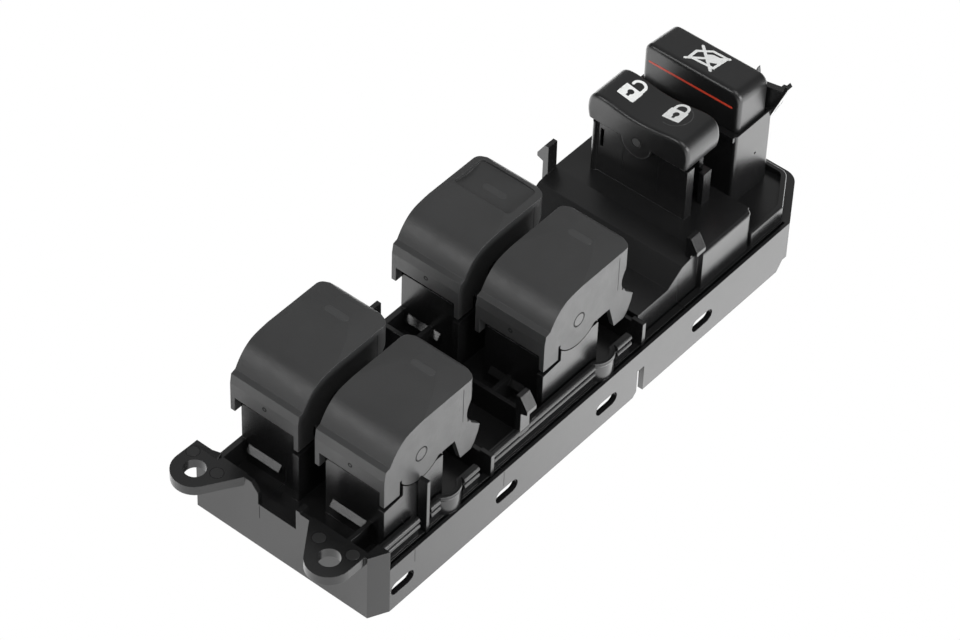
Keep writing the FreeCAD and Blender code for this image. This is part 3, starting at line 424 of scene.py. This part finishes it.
def drawn_shape(loops):
    """Flat mesh of closed loops; a loop inside another one is a hole."""
    curve = bpy.data.curves.new("drawn", "CURVE")
    curve.dimensions = "2D"
    curve.fill_mode = "BOTH"
    for loop in loops:
        spline = curve.splines.new("POLY")
        spline.points.add(len(loop) - 1)
        for point, (x, y) in zip(spline.points, loop):
            point.co = (x, y, 0, 1)
        spline.use_cyclic_u = True
    obj = bpy.data.objects.new("drawn", curve)
    bpy.context.collection.objects.link(obj)
    mesh = bpy.data.meshes.new_from_object(obj)
    bpy.data.objects.remove(obj)
    bpy.data.curves.remove(curve)
    return mesh


def cut_in_strips(bm, step):
    """Cuts a flat mesh both ways, so that it can follow a curved surface."""
    for axis in (Vector((1, 0, 0)), Vector((0, 1, 0))):
        spots = [v.co.dot(axis) for v in bm.verts]
        end = max(spots)
        cut = min(spots) + step
        while cut < end:
            geom = bm.verts[:] + bm.edges[:] + bm.faces[:]
            bmesh.ops.bisect_plane(bm, geom=geom, plane_co=axis * cut, plane_no=axis)
            cut += step


def drop_on(bm, tree, origin, face, lift):
    """Moves each point to the surface behind it; points that find none are deleted."""
    across, up, normal = face
    missed = []
    for v in bm.verts:
        p = origin + across * (v.co.x * MM) + up * (v.co.y * MM)
        hit, _, _, _ = tree.ray_cast(p + normal * (RAY_START * MM), -normal, RAY_REACH * MM)
        if hit is None:
            missed.append(v)
            hit = p
        v.co = hit + normal * (lift * MM)
    if missed:
        bmesh.ops.delete(bm, geom=missed, context="VERTS")


def give_height(bm, normal, height):
    """Extrudes the laid faces and sinks the first ones, so that the mark has a root in the solid."""
    grown = bmesh.ops.extrude_face_region(bm, geom=bm.faces[:])
    tops = {g for g in grown["geom"] if isinstance(g, bmesh.types.BMVert)}
    for v in bm.verts:
        if v not in tops:
            v.co -= normal * (height * MM)
    bmesh.ops.recalc_face_normals(bm, faces=bm.faces[:])


def lay_on(name, loops, node, body, mat, place, face, lift=0.04, step=0.5):
    """Lays a drawn shape on a node's surface and gives it a little height.
    Loops and place are in millimetres, and the loops lie across and up the face from the place."""
    mesh = drawn_shape(loops)
    bm = bmesh.new()
    bm.from_mesh(mesh)
    bpy.data.meshes.remove(mesh)
    cut_in_strips(bm, step)
    drop_on(bm, skin(node), Vector(place) * MM, face, lift)
    give_height(bm, face[2], lift + ROOT)
    out = bpy.data.meshes.new(name)
    bm.to_mesh(out)
    bm.free()
    out.materials.append(mat)
    obj = bpy.data.objects.new(name, out)
    bpy.context.collection.objects.link(obj)
    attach(obj, body)


# Signs on the lock rocker and the window lock button


def keyhole(cx, cy):
    head = ellipse(cx, cy + 0.45, 1.0, 1.0, 18, -60, 240)
    return head + [(cx - 0.5, cy - 1.5), (cx + 0.5, cy - 1.5)]


def padlock(name, x, y, opened):
    """A padlock: square body with a keyhole, and its shackle closed or swung up."""
    body = rounded_box(-3.0, 3.0, -2.6, 2.3, 0.35)
    lay_on(name + "_body", [body, keyhole(0, -0.1)], "lock_rocker", "lock", WHITE, (x, y, TOP_Z), TOP)
    if opened:
        arc = [(2.25, 2.0), (2.35, 3.3)]
        arc += ellipse(0.35, 4.0, 1.95, 1.75, 12, -10, 175)
        arc += [(-1.55, 3.5)]
    else:
        arc = [(2.05, 2.0), (2.05, 3.0)]
        arc += ellipse(0, 3.1, 2.05, 1.9, 12, 0, 180)
        arc += [(-2.05, 3.0), (-2.05, 2.0)]
    lay_on(name + "_shackle", [stroke(arc, ICON_WIDTH)], "lock_rocker", "lock", WHITE, (x, y, TOP_Z), TOP,
           lift=0.045)


def crossed_window(x, y):
    """A car window with a cross over it."""
    node = "window_lock_button"
    spot = (x, y, TOP_Z)
    outer = [(-4.5, -3.7), (4.7, -3.1), (4.9, 4.5), (-0.9, 4.3), (-4.8, 0.7)]
    inner = [(-3.6, -2.7), (3.8, -2.2), (3.9, 3.6), (-0.5, 3.4), (-3.8, 0.3)]
    lay_on("window_frame", [outer, inner], node, "button", WHITE, spot, TOP)
    pane = [(-1.7, 0.8), (0.0, -0.6), (1.9, -1.2), (3.85, 0.0), (3.85, 2.9), (0.3, 2.5)]
    lay_on("window_pane", [pane], node, "button", WHITE, spot, TOP, lift=0.045)
    rising = stroke([(-4.8, -4.5), (5.1, 4.3)], ICON_WIDTH)
    falling = stroke([(-4.4, 3.8), (4.3, -4.2)], ICON_WIDTH)
    lay_on("window_cross_a", [rising], node, "button", WHITE, spot, TOP, lift=0.055)
    lay_on("window_cross_b", [falling], node, "button", WHITE, spot, TOP, lift=0.065)


def red_line():
    """Red line across the near face of the window lock button."""
    line = stroke([(-17.0, 0.0), (13.2, 0.0)], 0.75)
    lay_on("red_line", [line], "window_lock_button", "button", RED, (0, 80.0, 56.2), NEAR,
           lift=0.05, step=2.0)


# Moulding marks


def cap_front_marks(place, cx, row):
    """Faint marker on top of a rocker cap, and the spot on its near face where it was filled."""
    node = "rocker_" + place
    marker = rounded_box(-3.9, 4.3, -1.2, 1.2, 1.15)
    lay_on("marker_" + place, [marker], node, place, MARKER_AND_HIGHLIGHT, (cx, MARKER_Y + row, TOP_Z), TOP, lift=FINE_LIFT)
    gate = [circle(0.75, 20), circle(0.42, 16)]
    spot = (cx + GATE_SHIFT, GATE_Y + row, GATE_Z)
    lay_on("gate_" + place, gate, node, place, LINE, spot, NEAR, lift=0.03)


def cap_cheek_marks(place, cx, row):
    """Ring round the pivot on a rocker's right cheek, and the seam behind it."""
    node = "rocker_" + place
    pivot = (cx + CHEEK_X, PIVOT_Y + row, PIVOT_Z)
    lay_on("pin_ring_" + place, ring(2.45, 2.12), node, place, LINE, pivot, SIDE, lift=FINE_LIFT)
    seam = stroke([(17.3, 11.2), (17.3, 5.0), (17.3, -1.4)], SEAM_WIDTH)
    lay_on("seam_" + place, [seam], node, place, LINE, pivot, SIDE, lift=FINE_LIFT, step=1.0)


def ear_pads():
    """Round ejector marks on the screw ears, each with a fine edge."""
    spots = ((-32.0, -97.4), (-21.6, -99.0), (15.1, -98.2), (26.0, -96.8))
    for k, (x, y) in enumerate(spots):
        spot = (x, y, EAR_Z)
        lay_on("ear_pad_%d" % k, [circle(1.9, 32)], "housing", "base", PAD, spot, TOP, lift=0.02)
        lay_on("ear_pad_edge_%d" % k, ring(2.05, 1.88), "housing", "base", LINE, spot, TOP, lift=FINE_LIFT)


def parting_line(name, x, y, low, high, face):
    """Upright line on the housing where two mould parts met, between two heights."""
    line = stroke([(0, low), (0, high)], PARTING_WIDTH)
    lay_on(name, [line], "housing", "base", LINE, (x, y, 0), face, lift=FINE_LIFT, step=1.0)


padlock("open_padlock", -9.5, 64.8, True)
padlock("closed_padlock", 6.0, 66.3, False)
crossed_window(-1.7, 91.1)
red_line()
for place, cx, row in ROCKERS:
    cap_front_marks(place, cx, row)
# Painted highlight: a pale half ring along the lower rim of the disc round the lock rocker's pivot.
lay_on("lock_pivot_rim_highlight", open_ring(5.3, 5.05, 180, 360, 60), "lock_rocker", "lock", MARKER_AND_HIGHLIGHT, LOCK_PIVOT,
       NEAR, lift=0.02)
for place, cx, row in ROCKERS:
    cap_cheek_marks(place, cx, row)
ear_pads()
parting_line("tower_line_a", -6.3, 57.1, 36.5, 46.0, NEAR)
parting_line("tower_line_b", 6.6, 57.1, 36.5, 46.0, NEAR)
parting_line("wall_line", -9.4, -102.3, 12.0, 23.0, NEAR)
parting_line("platform_line", 30.0, 42.6, 17.0, 27.0, SIDE)
parting_line("rail_line_a", 31.0, -79.0, 12.0, 27.5, SIDE)
parting_line("rail_line_b", 31.0, -41.0, 11.0, 29.0, SIDE)
lay_on("collar_mark", [circle(0.45, 20)], "housing", "base", LINE, (17.15, 92.7, 34.6), SIDE, lift=FINE_LIFT)
# Painted highlight: a pale dot on the end of the lock rocker's pivot pin.
lay_on("lock_pivot_pin_highlight", [circle(1.5, 28)], "housing", "base", MARKER_AND_HIGHLIGHT, LOCK_PIVOT, NEAR, lift=0.02)
# Painted highlight: a pale arc on one side of the dish round the closed padlock, where its rim catches the
# light.
lay_on("padlock_dish_rim_highlight", open_ring(4.9, 4.55, -110, 70), "lock_rocker", "lock", MARKER_AND_HIGHLIGHT, (6.6, 66.2, TOP_Z), TOP,
       lift=0.015)


# Floor, light and camera


def floor_glow(tree, path):
    """Light that the floor gives: soft for the room, and rising with y where a gloss mirrors it."""
    coords = tree.nodes.new("ShaderNodeTexCoord")
    split = tree.nodes.new("ShaderNodeSeparateXYZ")
    link(tree, coords, "Object", split, "Vector")
    sweep = tree.nodes.new("ShaderNodeMapRange")
    sweep.inputs["From Min"].default_value = SWEEP_START
    sweep.inputs["From Max"].default_value = SWEEP_END
    sweep.inputs["To Min"].default_value = GLOW_NEAR
    sweep.inputs["To Max"].default_value = GLOW_FAR
    link(tree, split, "Y", sweep, "Value")
    strength = tree.nodes.new("ShaderNodeMix")
    strength.inputs["A"].default_value = GLOW_SOFT
    link(tree, path, "Is Glossy Ray", strength, "Factor")
    link(tree, sweep, "Result", strength, "B")
    glow = tree.nodes.new("ShaderNodeEmission")
    glow.inputs["Color"].default_value = (1, 1, 1, 1)
    link(tree, strength, "Result", glow, "Strength")
    return glow


def floor_material():
    """White studio floor: plain white as the background, and a dull glowing sheet for the part."""
    mat, tree, shader = new_material("floor_white")
    shader.inputs["Base Color"].default_value = (0.6, 0.6, 0.6, 1)
    shader.inputs["Roughness"].default_value = 0.9
    shader.inputs["Specular IOR Level"].default_value = 0.2
    path = tree.nodes.new("ShaderNodeLightPath")
    glow = floor_glow(tree, path)
    add = tree.nodes.new("ShaderNodeAddShader")
    tree.links.new(shader.outputs["BSDF"], add.inputs[0])
    tree.links.new(glow.outputs["Emission"], add.inputs[1])
    white = tree.nodes.new("ShaderNodeEmission")
    white.inputs["Color"].default_value = (1, 1, 1, 1)
    shown = tree.nodes.new("ShaderNodeMixShader")
    link(tree, path, "Is Camera Ray", shown, "Fac")
    tree.links.new(add.outputs["Shader"], shown.inputs[1])
    tree.links.new(white.outputs["Emission"], shown.inputs[2])
    tree.links.new(shown.outputs["Shader"], tree.nodes["Material Output"].inputs["Surface"])
    return mat


def stage_floor():
    corners = [(-FLOOR_HALF, -FLOOR_HALF, 0), (FLOOR_HALF, -FLOOR_HALF, 0),
               (FLOOR_HALF, FLOOR_HALF, 0), (-FLOOR_HALF, FLOOR_HALF, 0)]
    mesh = bpy.data.meshes.new("floor")
    mesh.from_pydata(corners, [], [(0, 1, 2, 3)])
    mesh.materials.append(floor_material())
    floor = bpy.data.objects.new("floor", mesh)
    floor.location.z = -FLOOR_DROP
    bpy.context.collection.objects.link(floor)


def studio_world():
    world = bpy.data.worlds.new("studio")
    bpy.context.scene.world = world
    world.use_nodes = True
    background = world.node_tree.nodes["Background"]
    background.inputs["Color"].default_value = (1, 1, 1, 1)
    background.inputs["Strength"].default_value = WORLD_LIGHT


def area_light(name, place, aim, size, power):
    """Soft box: place, aim and size in metres, power in watts."""
    data = bpy.data.lights.new(name, "AREA")
    data.shape = "RECTANGLE"
    data.size, data.size_y = size
    data.energy = power
    light = bpy.data.objects.new(name, data)
    light.location = place
    light.rotation_euler = (Vector(aim) - Vector(place)).to_track_quat("-Z", "Y").to_euler()
    bpy.context.collection.objects.link(light)


def photo_camera():
    data = bpy.data.cameras.new("camera")
    data.sensor_width = SENSOR
    data.sensor_fit = "HORIZONTAL"
    data.lens = LENS
    data.clip_start = 0.05
    data.clip_end = 20.0
    camera = bpy.data.objects.new("camera", data)
    camera.matrix_world = Matrix(CAMERA_POSE)
    bpy.context.collection.objects.link(camera)
    bpy.context.scene.camera = camera


stage_floor()
studio_world()
area_light("sky", place=(-0.65, 0.82, 1.07), aim=(0, 0, 0.02), size=(1.7, 1.7), power=2.3)
area_light("key", place=(0.35, -0.25, 0.9), aim=(0, 0, 0), size=(0.7, 0.7), power=4.2)
area_light("right", place=(1.0, 0.1, 0.30), aim=(0, 0, 0.02), size=(0.9, 0.5), power=12.0)
area_light("front_left", place=(-0.50, -0.90, 0.66), aim=(0, -0.03, 0.02), size=(0.35, 0.35), power=3.0)
photo_camera()
bpy.context.scene.view_settings.view_transform = "Standard"
